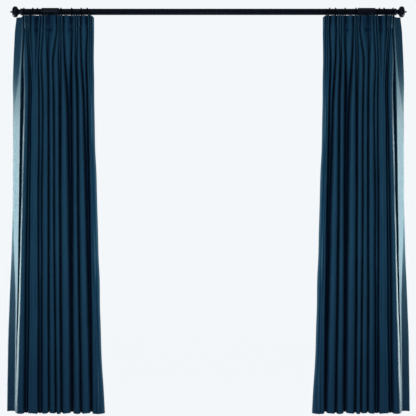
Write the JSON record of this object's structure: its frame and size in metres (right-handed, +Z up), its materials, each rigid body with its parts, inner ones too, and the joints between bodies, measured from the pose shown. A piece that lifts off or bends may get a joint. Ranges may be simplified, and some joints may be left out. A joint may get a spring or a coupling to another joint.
{
  "type": "pair of curtains on a pole",
  "caption": "Pair of lined, pinch-pleated curtain panels hanging by hooks and rings from a wall-mounted metal pole with ball finials and bracket sleeves.",
  "frame": {"origin": "on the wall surface, at the height of the pole's centre line, midway between the two brackets", "axes": "+X along the pole to the right as seen from the room, +Y into the wall, +Z up"},
  "size_m": [2.152, 0.142, 2.184],
  "materials": {
    "pole_metal": "satin near-black enamel",
    "sleeve_metal": "gloss near-black enamel",
    "finial_metal": "gloss near-black enamel",
    "ring_metal": "satin near-black enamel, worn at the crown",
    "bracket_metal": "satin near-black enamel",
    "plated_steel": "zinc plated",
    "face_cloth": "dark teal sateen weave",
    "lining_cloth": "pale plain-weave lining",
    "buckram": "stiff open-weave buckram"
  },
  "bodies": {
    "root": {"pole_centre_tube": "pole_metal", "sleeve_grub_screws": "plated_steel", "pole_end_tube_left": "pole_metal", "pole_sleeve_left": "sleeve_metal", "end_plug_left": "plated_steel", "finial_ferrule_left": "sleeve_metal", "finial_left": "finial_metal", "bracket_plate_left": "bracket_metal", "bracket_arm_left": "bracket_metal", "bracket_cradle_left": "bracket_metal", "panel_face_left": "face_cloth", "panel_lining_left": "lining_cloth", "heading_buckram_left": "buckram", "hem_weights_left": "plated_steel", "pole_end_tube_right": "pole_metal", "pole_sleeve_right": "sleeve_metal", "end_plug_right": "plated_steel", "finial_ferrule_right": "sleeve_metal", "finial_right": "finial_metal", "bracket_plate_right": "bracket_metal", "bracket_arm_right": "bracket_metal", "bracket_cradle_right": "bracket_metal", "panel_face_right": "face_cloth", "panel_lining_right": "lining_cloth", "heading_buckram_right": "buckram", "hem_weights_right": "plated_steel", "ring_left_1": "ring_metal", "ring_left_2": "ring_metal", "ring_left_3": "ring_metal", "hook_left_1": "plated_steel", "hook_left_2": "plated_steel", "hook_left_3": "plated_steel", "ring_right_1": "ring_metal", "ring_right_2": "ring_metal", "ring_right_3": "ring_metal", "hook_right_1": "plated_steel", "hook_right_2": "plated_steel", "hook_right_3": "plated_steel"},
    "screw_left": {"thumbscrew_left": "plated_steel"},
    "screw_right": {"thumbscrew_right": "plated_steel"},
    "runner_left_4": {"ring_left_4": "ring_metal", "hook_left_4": "plated_steel"},
    "runner_left_5": {"ring_left_5": "ring_metal", "hook_left_5": "plated_steel"},
    "runner_left_6": {"ring_left_6": "ring_metal", "hook_left_6": "plated_steel"},
    "runner_left_7": {"ring_left_7": "ring_metal", "hook_left_7": "plated_steel"},
    "runner_right_4": {"ring_right_4": "ring_metal", "hook_right_4": "plated_steel"},
    "runner_right_5": {"ring_right_5": "ring_metal", "hook_right_5": "plated_steel"},
    "runner_right_6": {"ring_right_6": "ring_metal", "hook_right_6": "plated_steel"},
    "runner_right_7": {"ring_right_7": "ring_metal", "hook_right_7": "plated_steel"}
  },
  "joints": [
    {"name": "draw_left", "type": "slide", "parent": "root", "child": "runner_left_7", "axis": [1, 0, 0], "range_m": [-0.045, 0.18], "deforming": ["panel_face_left", "panel_lining_left", "heading_buckram_left"]},
    {"name": "slide_left_4", "type": "slide", "parent": "root", "child": "runner_left_4", "axis": [1, 0, 0], "range_m": [-0.0051, 0.0201]},
    {"name": "slide_left_5", "type": "slide", "parent": "root", "child": "runner_left_5", "axis": [1, 0, 0], "range_m": [-0.0213, 0.0847]},
    {"name": "slide_left_6", "type": "slide", "parent": "root", "child": "runner_left_6", "axis": [1, 0, 0], "range_m": [-0.0375, 0.1494]},
    {"name": "turn_thumbscrew_left", "type": "hinge", "parent": "root", "child": "screw_left", "pos_m": [-0.8505, -0.09, 0], "axis": [0, 0.766, -0.6428], "range_deg": [-90, 360]},
    {"name": "draw_right", "type": "slide", "parent": "root", "child": "runner_right_7", "axis": [-1, 0, 0], "range_m": [-0.045, 0.18], "deforming": ["panel_face_right", "panel_lining_right", "heading_buckram_right"]},
    {"name": "slide_right_4", "type": "slide", "parent": "root", "child": "runner_right_4", "axis": [-1, 0, 0], "range_m": [-0.0051, 0.0201]},
    {"name": "slide_right_5", "type": "slide", "parent": "root", "child": "runner_right_5", "axis": [-1, 0, 0], "range_m": [-0.0213, 0.0847]},
    {"name": "slide_right_6", "type": "slide", "parent": "root", "child": "runner_right_6", "axis": [-1, 0, 0], "range_m": [-0.0375, 0.1494]},
    {"name": "turn_thumbscrew_right", "type": "hinge", "parent": "root", "child": "screw_right", "pos_m": [0.8505, -0.09, 0], "axis": [0, 0.766, -0.6428], "range_deg": [-90, 360]}
  ],
  "couplings": [
    {"joint": "slide_left_4", "follows": "draw_left", "ratio": 0.11088},
    {"joint": "slide_left_5", "follows": "draw_left", "ratio": 0.46971},
    {"joint": "slide_left_6", "follows": "draw_left", "ratio": 0.82931},
    {"joint": "slide_right_4", "follows": "draw_right", "ratio": 0.11088},
    {"joint": "slide_right_5", "follows": "draw_right", "ratio": 0.46971},
    {"joint": "slide_right_6", "follows": "draw_right", "ratio": 0.82931}
  ]
}
